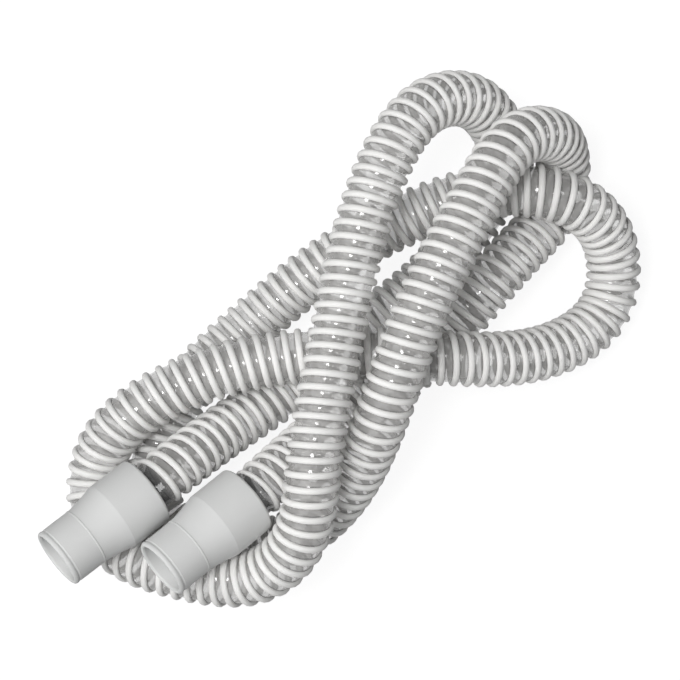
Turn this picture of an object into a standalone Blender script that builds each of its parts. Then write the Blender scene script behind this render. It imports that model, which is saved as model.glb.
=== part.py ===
"""CPAP hose: a ribbed breathing hose lying loosely looped, with a moulded cuff on each end.

The frame has +Z up, with the hose lying on the plane z = 0 and the middle of its box over the origin.
+X runs the way the hose leaves its cuffs, so both cuffs open towards -X.
"""
import math

import bpy
import bmesh
import numpy as np
from mathutils import Matrix, Vector

MM = 0.001

# Hose: its outside diameter, how far each end goes into a cuff, and how closely its bends are followed
HOSE_DIAMETER = 0.0236
HOSE_INSERT = 0.018
HOSE_SIDES = 12
TURN_PER_POINT = math.radians(28)
RUN_PER_POINT = 0.075

# Cuff: the socket slides over a 22 mm conical port, and the wide end is moulded round the hose
CUFF_LENGTH = 0.048
MOUTH_WALL = 0.002
RIM_WALL = 0.0034
SOCKET_DIAMETER = 0.022
SOCKET_DEPTH = 0.0215
SOCKET_TAPER = 1 / 40
AIRWAY_DIAMETER = 0.019
STOP_THICKNESS = 0.003
TAPER_START = 0.0158
TAPER_LENGTH = 0.0135
TAPER_FLARE = 1.4
LIP_WIDTH = 0.0022
LIP_HEIGHT = 0.0003
GROOVE_WIDTH = 0.0012
GROOVE_DEPTH = 0.0002
STEP_RING_WIDTH = 0.001
STEP_RING_HEIGHT = 0.0003
RIM_ROUNDING = 0.0014
MOUTH_CHAMFER = 0.0005
CUFF_SEGMENTS = 40

# The gap left between two moulded pieces that touch
GAP = 0.0003

# Where each cuff's rim sits, and the way its mouth points, in millimetres in the lying plane
DEVICE_RIM = (-96.4, 13, 44)
DEVICE_MOUTH = (-142.8, 13.9, 56.5)
MASK_RIM = (-66.4, -17, 46.3)
MASK_MOUTH = (-112.4, -17, 60.2)

# The hose's own way from rim to rim in millimetres: four loose turns that lie over one another
ROUTE = [
    (-84, 13, 40), (-60, 13, 27), (-28, 11, 14), (20, 9, 13), (50, 8, 12), (78, 12, 12), (97, 17, 13),
    (112, 23, 19), (118, 36, 29), (115, 51, 44), (96, 60, 61), (60, 49, 68), (5, 10, 67), (-38, -26, 64),
    (-59, -43, 54), (-84, -44, 40), (-104, -27, 33), (-116, -10, 30), (-122, 5, 23), (-121, 20, 18),
    (-110, 35, 19), (-94, 42, 28), (-63, 40, 36), (-13, 17, 37), (38, -27, 40), (76, -51, 22), (107, -51, 14),
    (124, -32, 22), (121, -9, 38), (103, 13, 40), (79, 26, 38), (26, 40, 25), (-20, 42, 13), (-62, 37, 12),
    (-86, 24, 12), (-98, 11, 12), (-100, -2, 12), (-94, -18, 12), (-66, -39, 13), (-38, -41, 28),
    (-4, -28, 55), (37, -5, 69), (90, 18, 67), (116, 25, 59), (131, 19, 42), (132, 9, 23), (122, -2, 14),
    (98, -8, 18), (64, -13, 23), (20, -17, 14), (-20, -15, 22), (-45, -16, 37),
]

# Added to every place above, so that the box stands centred on z = 0
SETTLE = (0.75, -3.35, 0.21)


def place(point):
    """A point of the lying plan, in metres in the object's frame."""
    return (Vector(point) + Vector(SETTLE)) * MM


def smooth_curve(points, start, end, step):
    """A cubic spline through the points, leaving along start and arriving along end, read every step."""
    points = np.array(points)
    chord = np.linalg.norm(np.diff(points, axis=0), axis=1)[:, None]
    run = np.diff(points, axis=0) / chord
    count = len(points)
    matrix = np.zeros((count, count))
    right = np.zeros((count, 3))
    matrix[0, 0] = matrix[-1, -1] = 1
    right[0] = start
    right[-1] = end
    for i in range(1, count - 1):
        before, after = chord[i - 1, 0], chord[i, 0]
        matrix[i, i - 1:i + 2] = after, 2 * (before + after), before
        right[i] = 3 * (after * run[i - 1] + before * run[i])
    slope = np.linalg.solve(matrix, right)
    curve = [points[0]]
    for i in range(count - 1):
        length = chord[i, 0]
        for t in np.linspace(0, 1, max(2, int(length / step)) + 1)[1:]:
            curve.append((1 + 2 * t) * (1 - t) ** 2 * points[i] + t * (1 - t) ** 2 * length * slope[i]
                         + t * t * (3 - 2 * t) * points[i + 1] - t * t * (1 - t) * length * slope[i + 1])
    return np.array(curve)


def thin_out(curve):
    """Keeps the curve's ends and a point for each share of turn and of length in between."""
    step = np.diff(curve, axis=0)
    length = np.linalg.norm(step, axis=1)
    way = step / length[:, None]
    turn = np.arccos(np.clip(np.sum(way[1:] * way[:-1], axis=1), -1, 1))
    share = length / RUN_PER_POINT
    share[1:] += turn / TURN_PER_POINT
    total = np.concatenate([[0], np.cumsum(share)])
    wanted = np.linspace(0, total[-1], math.ceil(total[-1]) + 1)
    return [curve[np.argmin(np.abs(total - value))] for value in wanted]


def material(name, colour, roughness):
    made = bpy.data.materials.new(name)
    made.use_nodes = True
    shader = made.node_tree.nodes["Principled BSDF"]
    shader.inputs["Base Color"].default_value = (*colour, 1)
    shader.inputs["Roughness"].default_value = roughness
    shader.inputs["Metallic"].default_value = 0
    made.diffuse_color = (*colour, 1)
    return made


def arc(along, radius, size_along, size_out, start, end, steps):
    """Points of an elliptical arc in the cuff's profile, its angles in degrees from the mouth's side."""
    points = []
    for i in range(steps + 1):
        angle = math.radians(start + (end - start) * i / steps)
        points.append((along - size_along * math.cos(angle), radius + size_out * math.sin(angle)))
    return points


def cuff_profile():
    """The cuff's closed section as (distance from the mouth, radius), outside first and back up the bore."""
    socket = SOCKET_DIAMETER / 2
    seat = HOSE_DIAMETER / 2 + GAP
    narrow = socket + MOUTH_WALL
    wide = seat + RIM_WALL
    lip_edge = MOUTH_CHAMFER * 2
    outside = [(0, narrow - lip_edge)]
    outside += arc(LIP_WIDTH / 2, narrow - lip_edge, LIP_WIDTH / 2, LIP_HEIGHT + lip_edge, 20, 130, 6)
    groove = LIP_WIDTH + GROOVE_WIDTH / 2
    outside += [(groove, narrow - GROOVE_DEPTH), (groove + GROOVE_WIDTH, narrow)]
    outside += arc(TAPER_START - STEP_RING_WIDTH / 2, narrow, STEP_RING_WIDTH / 2, STEP_RING_HEIGHT, 0, 180, 4)
    for i in range(1, 9):
        t = i / 8
        outside.append((TAPER_START + TAPER_LENGTH * t, narrow + (wide - narrow) * t ** TAPER_FLARE))
    outside += arc(CUFF_LENGTH - RIM_ROUNDING, wide - RIM_ROUNDING, RIM_ROUNDING, RIM_ROUNDING, 90, 180, 4)

    shelf = CUFF_LENGTH - HOSE_INSERT - GAP
    bottom = socket - SOCKET_DEPTH * SOCKET_TAPER / 2
    inside = [(CUFF_LENGTH, seat), (shelf, seat), (shelf, AIRWAY_DIAMETER / 2)]
    inside += [(shelf - STOP_THICKNESS, AIRWAY_DIAMETER / 2), (SOCKET_DEPTH, bottom)]
    inside += [(MOUTH_CHAMFER, socket), (0, socket + MOUTH_CHAMFER)]
    return outside + inside


def make_cuff(name, rim, mouth, finish):
    """Turns the section round its axis into one hollow moulding, and sets its rim on the hose."""
    shell = bmesh.new()
    ring = [shell.verts.new((along, 0, radius)) for along, radius in cuff_profile()]
    edges = [shell.edges.new((ring[i - 1], ring[i])) for i in range(len(ring))]
    bmesh.ops.spin(shell, geom=ring + edges, axis=(1, 0, 0), cent=(0, 0, 0),
                   angle=2 * math.pi, steps=CUFF_SEGMENTS, use_merge=True)
    bmesh.ops.recalc_face_normals(shell, faces=shell.faces)
    mesh = bpy.data.meshes.new(name)
    shell.to_mesh(mesh)
    shell.free()
    mesh.shade_smooth()
    mesh.set_sharp_from_angle(angle=math.radians(40))
    mesh.materials.append(finish)
    cuff = bpy.data.objects.new(name, mesh)
    bpy.context.collection.objects.link(cuff)

    back = (place(rim) - place(mouth)).normalized()
    side = Vector((0, 0, 1)).cross(back).normalized()
    up = back.cross(side)
    turned = Matrix((back, side, up)).transposed().to_4x4()
    turned.translation = place(rim) - back * CUFF_LENGTH
    cuff.matrix_world = turned
    return back


def make_hose(name, way_out, way_in, finish):
    """The hose as one round tube along its route, straight where it sits in each cuff."""
    first, last = place(DEVICE_RIM), place(MASK_RIM)
    route = [first] + [place(point) for point in ROUTE] + [last]
    curve = thin_out(smooth_curve(route, way_out, -way_in, 0.002))
    points = [first - way_out * HOSE_INSERT, *curve, last - way_in * HOSE_INSERT]
    line = bpy.data.curves.new(name, "CURVE")
    line.dimensions = "3D"
    line.bevel_depth = HOSE_DIAMETER / 2
    line.bevel_resolution = HOSE_SIDES // 2 - 2
    line.use_fill_caps = True
    spline = line.splines.new("POLY")
    spline.points.add(len(points) - 1)
    for corner, point in zip(spline.points, points):
        corner.co = (*point, 1)
    spline.use_smooth = True
    line.materials.append(finish)
    hose = bpy.data.objects.new(name, line)
    bpy.context.collection.objects.link(hose)


for old in list(bpy.data.objects):
    bpy.data.objects.remove(old)

hose_film = material("hose_film", (0.62, 0.63, 0.63), 0.35)
cuff_rubber = material("cuff_rubber", (0.58, 0.59, 0.59), 0.6)

device_way = make_cuff("device_end_cuff", DEVICE_RIM, DEVICE_MOUTH, cuff_rubber)
mask_way = make_cuff("mask_end_cuff", MASK_RIM, MASK_MOUTH, cuff_rubber)
make_hose("hose", device_way, mask_way, hose_film)
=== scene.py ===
import math

import bmesh
import bpy
import numpy as np
from mathutils import Matrix, Vector


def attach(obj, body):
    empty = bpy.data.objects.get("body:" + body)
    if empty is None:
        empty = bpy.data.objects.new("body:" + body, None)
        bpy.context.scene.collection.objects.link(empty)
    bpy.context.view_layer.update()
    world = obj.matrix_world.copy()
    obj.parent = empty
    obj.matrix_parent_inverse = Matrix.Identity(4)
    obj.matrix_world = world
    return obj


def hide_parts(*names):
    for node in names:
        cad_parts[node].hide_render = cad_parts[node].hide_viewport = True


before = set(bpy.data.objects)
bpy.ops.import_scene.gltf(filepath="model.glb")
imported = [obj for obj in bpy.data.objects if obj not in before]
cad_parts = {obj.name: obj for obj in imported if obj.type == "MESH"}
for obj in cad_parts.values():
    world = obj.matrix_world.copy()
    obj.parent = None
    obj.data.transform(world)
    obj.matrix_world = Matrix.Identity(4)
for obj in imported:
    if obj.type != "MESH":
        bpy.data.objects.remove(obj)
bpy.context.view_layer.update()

# The photograph's camera looks almost straight down from a metre away, through a long lens, with the
# cuffs at the lower left. Its azimuth and elevation were read from the ovals of the cuffs and the ribs.
MM = 0.001
CAMERA_AZIMUTH = math.radians(-40)
CAMERA_ELEVATION = math.radians(84)
CAMERA_DISTANCE = 1.0
CAMERA_LENS = 120
CAMERA_SENSOR = 36
CAMERA_CLIP_START = 0.01
LOOK_AT = Vector((9.75, 9.65, 0.21)) * MM

camera_back = Vector((
    math.sin(CAMERA_AZIMUTH) * math.cos(CAMERA_ELEVATION),
    -math.cos(CAMERA_AZIMUTH) * math.cos(CAMERA_ELEVATION),
    math.sin(CAMERA_ELEVATION),
))
camera_right = Vector((math.cos(CAMERA_AZIMUTH), math.sin(CAMERA_AZIMUTH), 0))
camera_up = camera_back.cross(camera_right)
camera_data = bpy.data.cameras.new("camera")
camera_data.lens = CAMERA_LENS
camera_data.sensor_width = CAMERA_SENSOR
camera_data.clip_start = CAMERA_CLIP_START
camera = bpy.data.objects.new("camera", camera_data)
camera.matrix_world = Matrix((camera_right, camera_up, camera_back)).transposed().to_4x4()
camera.location = LOOK_AT + camera_back * CAMERA_DISTANCE
bpy.context.collection.objects.link(camera)
bpy.context.scene.camera = camera

# The hose's lie, in millimetres: its ends sit straight in the two cuffs, and between them it runs in four
# loose turns. One smooth line goes through the places, and the film, the rib and the cuffs all follow it.
DEVICE_RIM = (-96.4, 13, 44)
DEVICE_MOUTH = (-142.8, 13.9, 56.5)
MASK_RIM = (-66.4, -17, 46.3)
MASK_MOUTH = (-112.4, -17, 60.2)
ROUTE = [
    (-84, 13, 40), (-60, 13, 27), (-28, 11, 14), (20, 9, 13), (50, 8, 12), (78, 12, 12), (97, 17, 13),
    (112, 23, 19), (118, 36, 29), (115, 51, 44), (96, 60, 61), (60, 49, 68), (5, 10, 67), (-38, -26, 64),
    (-59, -43, 54), (-84, -44, 40), (-104, -27, 33), (-116, -10, 30), (-122, 5, 23), (-121, 20, 18),
    (-110, 35, 19), (-94, 42, 28), (-63, 40, 36), (-13, 17, 37), (38, -27, 40), (76, -51, 22), (107, -51, 14),
    (124, -32, 22), (121, -9, 38), (103, 13, 40), (79, 26, 38), (26, 40, 25), (-20, 42, 13), (-62, 37, 12),
    (-86, 24, 12), (-98, 11, 12), (-100, -2, 12), (-94, -18, 12), (-66, -39, 13), (-38, -41, 28),
    (-4, -28, 55), (37, -5, 69), (90, 18, 67), (116, 25, 59), (131, 19, 42), (132, 9, 23), (122, -2, 14),
    (98, -8, 18), (64, -13, 23), (20, -17, 14), (-20, -15, 22), (-45, -16, 37),
]
SETTLE = (0.75, -3.35, 0.21)
HOSE_INSERT = 0.018
LINE_STEP = 0.002


def place(point):
    """A point of the lying plan, in metres in the object's frame."""
    return (Vector(point) + Vector(SETTLE)) * MM


def smooth_curve(points, start, end, step):
    """A cubic spline through the points, leaving along start and arriving along end, read every step."""
    points = np.array(points)
    chord = np.linalg.norm(np.diff(points, axis=0), axis=1)[:, None]
    run = np.diff(points, axis=0) / chord
    count = len(points)
    matrix = np.zeros((count, count))
    right = np.zeros((count, 3))
    matrix[0, 0] = matrix[-1, -1] = 1
    right[0] = start
    right[-1] = end
    for i in range(1, count - 1):
        before, after = chord[i - 1, 0], chord[i, 0]
        matrix[i, i - 1:i + 2] = after, 2 * (before + after), before
        right[i] = 3 * (after * run[i - 1] + before * run[i])
    slope = np.linalg.solve(matrix, right)
    curve = [points[0]]
    for i in range(count - 1):
        length = chord[i, 0]
        for t in np.linspace(0, 1, max(2, int(length / step)) + 1)[1:]:
            curve.append((1 + 2 * t) * (1 - t) ** 2 * points[i] + t * (1 - t) ** 2 * length * slope[i]
                         + t * t * (3 - 2 * t) * points[i + 1] - t * t * (1 - t) * length * slope[i + 1])
    return curve


device_way = (place(DEVICE_RIM) - place(DEVICE_MOUTH)).normalized()
mask_way = (place(MASK_RIM) - place(MASK_MOUTH)).normalized()
free_run = [place(DEVICE_RIM)] + [place(point) for point in ROUTE] + [place(MASK_RIM)]
centre_line = [place(DEVICE_RIM) - device_way * HOSE_INSERT]
centre_line += [Vector(point) for point in smooth_curve(free_run, device_way, -mask_way, LINE_STEP)]
centre_line += [place(MASK_RIM) - mask_way * HOSE_INSERT]
hose_length = sum((b - a).length for a, b in zip(centre_line, centre_line[1:]))

# Helpers that build node trees. A node's output takes part in plain arithmetic, each step of which adds
# the Math node that does it.


class Socket:
    """One output of a node, in arithmetic: an expression on such values adds its Math nodes."""

    def __init__(self, nodes, out):
        self.nodes = nodes
        self.out = out

    def math(self, operation, *values):
        return self.nodes.add("ShaderNodeMath", {"operation": operation}, dict(enumerate(values)))["Value"]

    def __add__(self, other):
        return self.math("ADD", self, other)

    def __sub__(self, other):
        return self.math("SUBTRACT", self, other)

    def __rsub__(self, other):
        return self.math("SUBTRACT", other, self)

    def __mul__(self, other):
        return self.math("MULTIPLY", self, other)

    def __truediv__(self, other):
        return self.math("DIVIDE", self, other)

    def __pow__(self, other):
        return self.math("POWER", self, other)

    __radd__ = __add__


class Node:
    """A node whose outputs are read by name as Sockets, and whose inputs are linked or set by name."""

    def __init__(self, nodes, node):
        self.nodes = nodes
        self.node = node

    def __getitem__(self, name):
        return Socket(self.nodes, self.node.outputs[name])

    def set(self, name, value):
        if isinstance(value, Socket):
            self.nodes.tree.links.new(value.out, self.node.inputs[name])
        else:
            self.node.inputs[name].default_value = value


class Nodes:
    """A node tree that is added to one node at a time: its type, its settings, then its sockets."""

    def __init__(self, tree):
        self.tree = tree

    def add(self, kind, settings=None, sockets=None):
        made = Node(self, self.tree.nodes.new(kind))
        for name, value in (settings or {}).items():
            setattr(made.node, name, value)
        for name, value in (sockets or {}).items():
            made.set(name, value)
        return made


def empty_tree(owner):
    """The node tree of a material or a world, with nothing in it yet."""
    owner.use_nodes = True
    owner.node_tree.nodes.clear()
    return Nodes(owner.node_tree)


def new_shader(name):
    """An empty material with its node tree, its Principled shader and its output joined up."""
    made = bpy.data.materials.new(name)
    nodes = empty_tree(made)
    shader = nodes.add("ShaderNodeBsdfPrincipled")
    nodes.add("ShaderNodeOutputMaterial", None, {"Surface": shader["BSDF"]})
    return made, nodes, shader


def noise(nodes, scale, detail):
    """A cloudy value from 0 to 1 over the object's own coordinates."""
    spot = nodes.add("ShaderNodeTexCoord")["Object"]
    return nodes.add("ShaderNodeTexNoise", None, {"Vector": spot, "Scale": scale, "Detail": detail})["Fac"]


def blend(nodes, factor, first, second):
    """A colour that goes from the first to the second with the factor."""
    return nodes.add("ShaderNodeMix", {"data_type": "RGBA"},
                     {"Factor": factor, "A": first, "B": second})["Result"]


def soft_step(nodes, value, low, high):
    """0 up to the low value and 1 from the high one, with a soft change in between."""
    return nodes.add("ShaderNodeMapRange", {"interpolation_type": "SMOOTHSTEP"},
                     {"Value": value, "From Min": low, "From Max": high})["Result"]


def seen_by(nodes, other_ray):
    """1 for what the camera's rays and one other kind of ray meet, and 0 for all else."""
    rays = nodes.add("ShaderNodeLightPath")
    camera_ray = rays["Is Camera Ray"]
    return camera_ray.math("MAXIMUM", camera_ray, rays[other_ray])


# Helpers that wind a flat sheet round the centre line with Geometry Nodes, for the film and the rib.
MERGE_DISTANCE = 0.000005


def line_object(name):
    """The centre line as a curve object that Geometry Nodes can wind a sheet round."""
    line = bpy.data.curves.new(name, "CURVE")
    line.dimensions = "3D"
    spline = line.splines.new("POLY")
    spline.points.add(len(centre_line) - 1)
    for corner, point in zip(spline.points, centre_line):
        corner.co = (*point, 1)
    made = bpy.data.objects.new(name, line)
    bpy.context.collection.objects.link(made)
    return made


def new_wound_tree(name, sizes):
    """A Geometry Nodes tree along the incoming line, with one named input for each size."""
    tree = bpy.data.node_groups.new(name, "GeometryNodeTree")
    tree.interface.new_socket("Line", in_out="INPUT", socket_type="NodeSocketGeometry")
    for size in sizes:
        tree.interface.new_socket(size, in_out="INPUT", socket_type="NodeSocketFloat")
    tree.interface.new_socket("Made", in_out="OUTPUT", socket_type="NodeSocketGeometry")
    nodes = Nodes(tree)
    return nodes, nodes.add("NodeGroupInput")


def flat_sheet(nodes, rows, sides):
    """A flat grid to wind up, with each point's share of the length and of the way round."""
    sheet = nodes.add("GeometryNodeMeshGrid", None, {
        "Size X": 1.0, "Size Y": 1.0, "Vertices X": rows, "Vertices Y": sides + 1})
    position = nodes.add("GeometryNodeInputPosition")["Position"]
    spot = nodes.add("ShaderNodeSeparateXYZ", None, {"Vector": position})
    return sheet["Mesh"], spot["X"] + 0.5, spot["Y"] + 0.5


def moved(nodes, point, way, distance):
    """A point moved some distance along a way."""
    step = nodes.add("ShaderNodeVectorMath", {"operation": "SCALE"}, {0: way, "Scale": distance})["Vector"]
    return nodes.add("ShaderNodeVectorMath", {"operation": "ADD"}, {0: point, 1: step})["Vector"]


def round_the_line(nodes, line, along, turns):
    """The line's point and direction at a length along it, and the way out from it after some turns."""
    sample = nodes.add("GeometryNodeSampleCurve", {"mode": "LENGTH"}, {"Curves": line, "Length": along})
    angle = turns * (2 * math.pi)
    across = nodes.add("ShaderNodeVectorMath", {"operation": "CROSS_PRODUCT"},
                       {0: sample["Tangent"], 1: sample["Normal"]})["Vector"]
    outward = moved(nodes, moved(nodes, (0, 0, 0), sample["Normal"], angle.math("COSINE", angle)),
                    across, angle.math("SINE", angle))
    return sample["Position"], sample["Tangent"], outward


def wound_mesh(name, nodes, sheet, position, finish, sizes):
    """Ends the tree by putting the sheet in its place, runs it with the sizes, and keeps a plain mesh."""
    laid = nodes.add("GeometryNodeSetPosition", None, {"Geometry": sheet, "Position": position})
    closed = nodes.add("GeometryNodeMergeByDistance", None, {
        "Geometry": laid["Geometry"], "Distance": MERGE_DISTANCE})
    turned = nodes.add("GeometryNodeFlipFaces", None, {"Mesh": closed["Geometry"]})
    smooth = nodes.add("GeometryNodeSetShadeSmooth", None, {0: turned["Mesh"]})
    finished = nodes.add("GeometryNodeSetMaterial", None, {
        "Geometry": smooth["Geometry"], "Material": finish})
    nodes.add("NodeGroupOutput", None, {"Made": finished["Geometry"]})
    line = line_object(name + "_line")
    winder = line.modifiers.new(name, "NODES")
    winder.node_group = nodes.tree
    for size, value in sizes.items():
        winder[nodes.tree.interface.items_tree[size].identifier] = value
    evaluated = line.evaluated_get(bpy.context.evaluated_depsgraph_get())
    mesh = bpy.data.meshes.new_from_object(evaluated)
    mesh.name = name
    piece = bpy.data.objects.new(name, mesh)
    bpy.context.collection.objects.link(piece)
    bpy.data.objects.remove(line)
    return piece


# The film wall: a thin clear film wound in a strip and welded to the rib, so that it is drawn in a little
# between each two turns. It is see-through and slightly milky. Its colour carries painted shade: darker in
# the creases beside the rib, and a painted contact shadow where it goes into a cuff.
RIB_TURNS = 305.2
RIB_LEAD = 0.45
FILM_RADIUS = 0.0106
FILM_DRAW = 0.0004
FILM_STEPS_PER_TURN = 8
FILM_SIDES = 36
RIM_SHADE_WIDTH = 0.008
FILM_COLOUR = (0.53, 0.524, 0.514, 1)
# Painted shade: the film's colour goes this dark in the creases beside the rib and near each cuff.
FILM_PAINTED_SHADE_COLOUR = (0.09, 0.09, 0.09, 1)
FILM_ALPHA = 0.40
FILM_ALPHA_OF_MILK = 0.12
FILM_ALPHA_OF_PAINTED_SHADE = 0.30
FILM_WRINKLE_DEPTH = 0.0002

film_finish, nodes, shader = new_shader("clear_film")
winding = nodes.add("ShaderNodeAttribute", {"attribute_name": "winding"})
parts = nodes.add("ShaderNodeSeparateXYZ", None, {"Vector": winding["Vector"]})
phase = parts["X"]
near_rib = phase.math("ABSOLUTE", phase.math("FRACT", phase) - 0.5) * 2
# Painted shade in the creases on either side of the rib, where the film darkens and is less see-through.
painted_crease_shade = soft_step(nodes, near_rib, 0.30, 0.55)
# Painted contact shadow: the film darkens inside each cuff and over the first few millimetres outside its
# rim.
painted_rim_shadow = 1 - soft_step(nodes, parts["Z"], 0.4, 1.0)
painted_shade = painted_crease_shade.math("MAXIMUM", painted_crease_shade * 0.8, painted_rim_shadow)
milk = noise(nodes, scale=140, detail=3)
wrinkle = noise(nodes, scale=600, detail=2)
bump = nodes.add("ShaderNodeBump", None, {
    "Height": wrinkle, "Strength": 0.02, "Distance": FILM_WRINKLE_DEPTH})
shader.set("Base Color", blend(nodes, painted_shade, FILM_COLOUR, FILM_PAINTED_SHADE_COLOUR))
shader.set("Roughness", 0.07 + milk * 0.08)
shader.set("Alpha", FILM_ALPHA + milk * FILM_ALPHA_OF_MILK + painted_shade * FILM_ALPHA_OF_PAINTED_SHADE)
shader.set("Specular IOR Level", 0.7)
shader.set("Coat Weight", 1.0)
shader.set("Coat Roughness", 0.06)
shader.set("Normal", bump["Normal"])

film_sizes = {"Length": hose_length, "Turns": RIB_TURNS, "Lead": RIB_LEAD, "Radius": FILM_RADIUS,
              "Draw": FILM_DRAW, "Rim": HOSE_INSERT}
film_rows = int(RIB_TURNS * FILM_STEPS_PER_TURN)
nodes, sizes = new_wound_tree("film_wall", film_sizes)
sheet, share, around = flat_sheet(nodes, film_rows, FILM_SIDES)
along = share * sizes["Length"]
phase = share * sizes["Turns"] + sizes["Lead"] - around
from_rim = phase.math("MINIMUM", along, sizes["Length"] - along) - sizes["Rim"]
winding = nodes.add("ShaderNodeCombineXYZ", None, {
    "X": phase, "Y": around, "Z": from_rim / RIM_SHADE_WIDTH})
marked = nodes.add("GeometryNodeStoreNamedAttribute", {"data_type": "FLOAT_VECTOR", "domain": "CORNER"}, {
    "Geometry": sheet, "Name": "winding", "Value": winding["Vector"]})
middle, _, outward = round_the_line(nodes, sizes["Line"], along, around)
drawn = phase.math("SINE", phase * math.pi) ** 2
wall = moved(nodes, middle, outward, sizes["Radius"] - drawn * sizes["Draw"])
film = wound_mesh("hose_film", nodes, marked["Geometry"], wall, film_finish, film_sizes)
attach(film, "root")
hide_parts("hose")

# The rib: a broad round bead of white plastic wound on as the film is made. It stands proud of the film,
# and each of its ends fades out a little way outside a cuff.
HOSE_RADIUS = 0.012
RIB_HALF_WIDTH = 0.0015
RIB_HALF_HEIGHT = 0.00125
RIB_RADIUS = HOSE_RADIUS - RIB_HALF_HEIGHT
RIB_START = 0.0026
RIB_TIP = 0.004
RIB_STEPS_PER_TURN = 24
RIB_SIDES = 10
RIB_COLOUR = (0.80, 0.794, 0.78, 1)
RIB_CLOUD_COLOUR = (0.88, 0.874, 0.86, 1)

rib_finish, nodes, shader = new_shader("white_rib")
cloud = noise(nodes, scale=90, detail=2)
shader.set("Base Color", blend(nodes, cloud, RIB_COLOUR, RIB_CLOUD_COLOUR))
shader.set("Roughness", 0.46 + cloud * 0.12)
shader.set("Specular IOR Level", 0.22)

rib_sizes = {"Length": hose_length, "Turns": RIB_TURNS, "Lead": RIB_LEAD, "Radius": RIB_RADIUS,
             "Half Width": RIB_HALF_WIDTH, "Half Height": RIB_HALF_HEIGHT, "Start": HOSE_INSERT + RIB_START}
rib_rows = int(RIB_TURNS * RIB_STEPS_PER_TURN)
rib_pitch = hose_length / RIB_TURNS
rows_in_tip = RIB_TIP / rib_pitch * RIB_STEPS_PER_TURN
nodes, sizes = new_wound_tree("wound_rib", rib_sizes)
sheet, share, around = flat_sheet(nodes, rib_rows, RIB_SIDES)
free_length = sizes["Length"] - sizes["Start"] * 2
along = sizes["Start"] + share * free_length
turns = along / sizes["Length"] * sizes["Turns"] + sizes["Lead"]
middle, forward, outward = round_the_line(nodes, sizes["Line"], along, turns)
from_end = share.math("MINIMUM", share, 1 - share) * rib_rows / rows_in_tip
size = share.math("SQRT", share.math("MINIMUM", from_end, 1.0))
angle = around * (2 * math.pi)
rise = angle.math("SINE", angle) * size * sizes["Half Height"]
bead = moved(nodes, middle, outward, sizes["Radius"] + rise)
bead = moved(nodes, bead, forward, angle.math("COSINE", angle) * size * sizes["Half Width"])
rib = wound_mesh("hose_rib", nodes, sheet, bead, rib_finish, rib_sizes)
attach(rib, "root")

# The cuffs: soft grey rubber moulded over each end of the hose, with a lip at the mouth, a fine ring where
# the narrow part ends, and a smooth swell up to the wide end that grips the hose. The straight parts have
# a few points along them, which keep their shading even.
CUFF_LENGTH = 0.048
MOUTH_RADIUS = 0.013
WIDE_RADIUS = 0.0155
SOCKET_RADIUS = 0.011
SOCKET_DEPTH = 0.0215
SOCKET_NARROWING = 0.0003
SOCKET_EDGE = 0.0003
SOCKET_EDGE_END = 0.001
AIRWAY_RADIUS = 0.0095
STOP_THICKNESS = 0.003
SEAT_RADIUS = 0.0122
SEAT_GAP = 0.0003
LIP_WIDTH = 0.0026
LIP_HEIGHT = 0.00008
LIP_ROOT = 0.001
GROOVE_WIDTH = 0.0004
GROOVE_DEPTH = 0.00022
GROOVE_END_DEPTH = 0.00004
NARROW_POINTS = (0.006, 0.010, 0.0135)
RING_PLACE = 0.0153
RING_WIDTH = 0.0009
RING_HEIGHT = 0.0002
TAPER_START = 0.0158
TAPER_LENGTH = 0.0135
TAPER_FLARE = 1.4
TAPER_STEPS = 16
WIDE_POINTS = (0.034, 0.040)
RIM_ROUNDING = 0.0014
CUFF_SEGMENTS = 96
SHARP_ANGLE = math.radians(14)
CUFF_COLOUR = (0.63, 0.635, 0.63, 1)
CUFF_CLOUD_COLOUR = (0.68, 0.685, 0.68, 1)
GRAIN_DEPTH = 0.0001


def arc(along, radius, size_along, size_out, start, end, steps):
    """Points of an elliptical arc in the cuff's profile, its angles in degrees from the mouth's side."""
    points = []
    for i in range(steps + 1):
        angle = math.radians(start + (end - start) * i / steps)
        points.append((along - size_along * math.cos(angle), radius + size_out * math.sin(angle)))
    return points


def cuff_profile():
    """The cuff's closed section as (distance from the mouth, radius), outside first and back up the bore."""
    half_lip = LIP_WIDTH / 2
    points = arc(half_lip, MOUTH_RADIUS - LIP_ROOT, half_lip, LIP_HEIGHT + LIP_ROOT, 0, 135, 14)
    points.append((LIP_WIDTH, MOUTH_RADIUS - GROOVE_DEPTH))
    points.append((LIP_WIDTH + GROOVE_WIDTH, MOUTH_RADIUS - GROOVE_END_DEPTH))
    points += [(along, MOUTH_RADIUS) for along in NARROW_POINTS]
    points += arc(RING_PLACE, MOUTH_RADIUS, RING_WIDTH / 2, RING_HEIGHT, 10, 170, 8)
    for i in range(1, TAPER_STEPS + 1):
        t = i / TAPER_STEPS
        swell = t ** TAPER_FLARE
        points.append((TAPER_START + TAPER_LENGTH * t, MOUTH_RADIUS + (WIDE_RADIUS - MOUTH_RADIUS) * swell))
    points += [(along, WIDE_RADIUS) for along in WIDE_POINTS]
    rim_start, rim_root = CUFF_LENGTH - RIM_ROUNDING, WIDE_RADIUS - RIM_ROUNDING
    points += arc(rim_start, rim_root, RIM_ROUNDING, RIM_ROUNDING, 90, 180, 8)
    shelf = CUFF_LENGTH - HOSE_INSERT - SEAT_GAP
    points += [(CUFF_LENGTH, SEAT_RADIUS), (shelf, SEAT_RADIUS), (shelf, AIRWAY_RADIUS)]
    points += [(shelf - STOP_THICKNESS, AIRWAY_RADIUS), (SOCKET_DEPTH, SOCKET_RADIUS - SOCKET_NARROWING)]
    points += [(SOCKET_EDGE_END, SOCKET_RADIUS), (SOCKET_EDGE, SOCKET_RADIUS + SOCKET_EDGE)]
    return points


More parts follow.
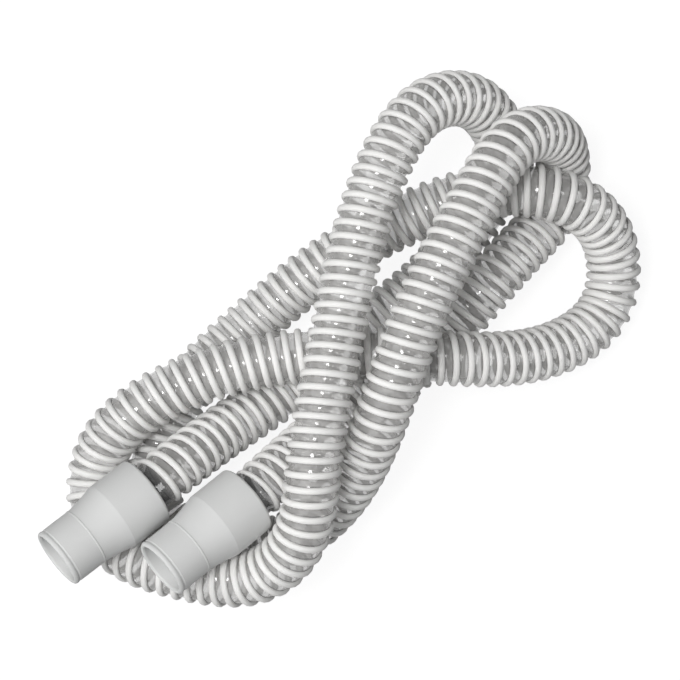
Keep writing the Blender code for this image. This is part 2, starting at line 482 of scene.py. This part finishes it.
cuff_finish, nodes, shader = new_shader("grey_cuff_rubber")
cloud = noise(nodes, scale=60, detail=4)
grain = noise(nodes, scale=1800, detail=2)
bump = nodes.add("ShaderNodeBump", None, {"Height": grain, "Strength": 0.15, "Distance": GRAIN_DEPTH})
shader.set("Base Color", blend(nodes, cloud, CUFF_COLOUR, CUFF_CLOUD_COLOUR))
shader.set("Roughness", 0.66 + grain * 0.12)
shader.set("Normal", bump["Normal"])


def moulded_cuff(name, node, rim, way):
    """Turns the section round the hose's axis at one rim, with the mesh left in its place."""
    shell = bmesh.new()
    ring = [shell.verts.new((along, 0, radius)) for along, radius in cuff_profile()]
    edges = [shell.edges.new((ring[i - 1], ring[i])) for i in range(len(ring))]
    bmesh.ops.spin(shell, geom=ring + edges, axis=(1, 0, 0), cent=(0, 0, 0),
                   angle=2 * math.pi, steps=CUFF_SEGMENTS, use_merge=True)
    bmesh.ops.recalc_face_normals(shell, faces=shell.faces)
    side = Vector((0, 0, 1)).cross(way).normalized()
    turned = Matrix((way, side, way.cross(side))).transposed().to_4x4()
    turned.translation = place(rim) - way * CUFF_LENGTH
    shell.transform(turned)
    mesh = bpy.data.meshes.new(name)
    shell.to_mesh(mesh)
    shell.free()
    mesh.shade_smooth()
    mesh.set_sharp_from_angle(angle=SHARP_ANGLE)
    mesh.materials.append(cuff_finish)
    cuff = bpy.data.objects.new(name, mesh)
    bpy.context.collection.objects.link(cuff)
    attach(cuff, "root")
    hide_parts(node)
    return cuff


device_cuff = moulded_cuff("device_cuff", "device_end_cuff", DEVICE_RIM, device_way)
mask_cuff = moulded_cuff("mask_cuff", "mask_end_cuff", MASK_RIM, mask_way)

# The floor under the hose is white where the camera sees it and still takes a soft shadow. It lies a
# little below the hose, so that the lowest ribs don't dip into it.
FLOOR_SIZE = 6.0
FLOOR_DROP = 0.0004
FLOOR_COLOUR = (0.17, 0.17, 0.17, 1)
FLOOR_GLOW = 0.90
WHITE = (1, 1, 1, 1)

floor_finish = bpy.data.materials.new("white_table")
nodes = empty_tree(floor_finish)
seen = seen_by(nodes, "Is Glossy Ray")
paper = nodes.add("ShaderNodeBsdfDiffuse", None, {"Color": FLOOR_COLOUR})
glow = nodes.add("ShaderNodeEmission", None, {"Color": WHITE, "Strength": seen * FLOOR_GLOW})
both = nodes.add("ShaderNodeAddShader", None, {0: paper["BSDF"], 1: glow["Emission"]})
nodes.add("ShaderNodeOutputMaterial", None, {"Surface": both["Shader"]})
bpy.ops.mesh.primitive_plane_add(size=FLOOR_SIZE, location=(0, 0, -FLOOR_DROP))
floor = bpy.context.object
floor.name = "table"
floor.data.materials.append(floor_finish)

# The room is white where it is seen and lights the hose only faintly. A broad panel gives the light from
# the upper left, a small lamp near the camera draws the bright dots along the film, a weaker one stands at
# the right, a soft fill comes from the lower left, and a card at the right shows in the gloss alone.
ROOM_LIGHT = 0.11

world = bpy.data.worlds.new("room")
nodes = empty_tree(world)
seen = seen_by(nodes, "Is Transmission Ray")
strength = ROOM_LIGHT + seen * (1 - ROOM_LIGHT)
room = nodes.add("ShaderNodeBackground", None, {"Color": WHITE, "Strength": strength})
nodes.add("ShaderNodeOutputWorld", None, {"Surface": room["Background"]})
bpy.context.scene.world = world


def lamp(name, right, up, distance, size, power, gloss_only=False):
    """A round lamp aimed at the hose, set off from the camera's line by degrees to the right and up."""
    data = bpy.data.lights.new(name, "AREA")
    data.shape = "DISK"
    data.size = size
    data.energy = power
    away = (camera_back + camera_right * math.tan(math.radians(right))
            + camera_up * math.tan(math.radians(up))).normalized()
    made = bpy.data.objects.new(name, data)
    made.location = LOOK_AT + away * distance
    made.rotation_euler = away.to_track_quat("Z", "Y").to_euler()
    made.visible_diffuse = not gloss_only
    bpy.context.collection.objects.link(made)


lamp("soft_panel", right=-36, up=13, distance=1.8, size=2.0, power=15)
lamp("near_lamp", right=-13, up=3, distance=1.6, size=0.44, power=10)
lamp("side_lamp", right=36, up=10, distance=1.6, size=0.32, power=1.4)
lamp("low_fill", right=-34, up=-45, distance=1.6, size=1.40, power=8)
lamp("right_card", right=66, up=6, distance=1.6, size=1.50, power=26, gloss_only=True)

bpy.context.scene.view_settings.view_transform = "Standard"
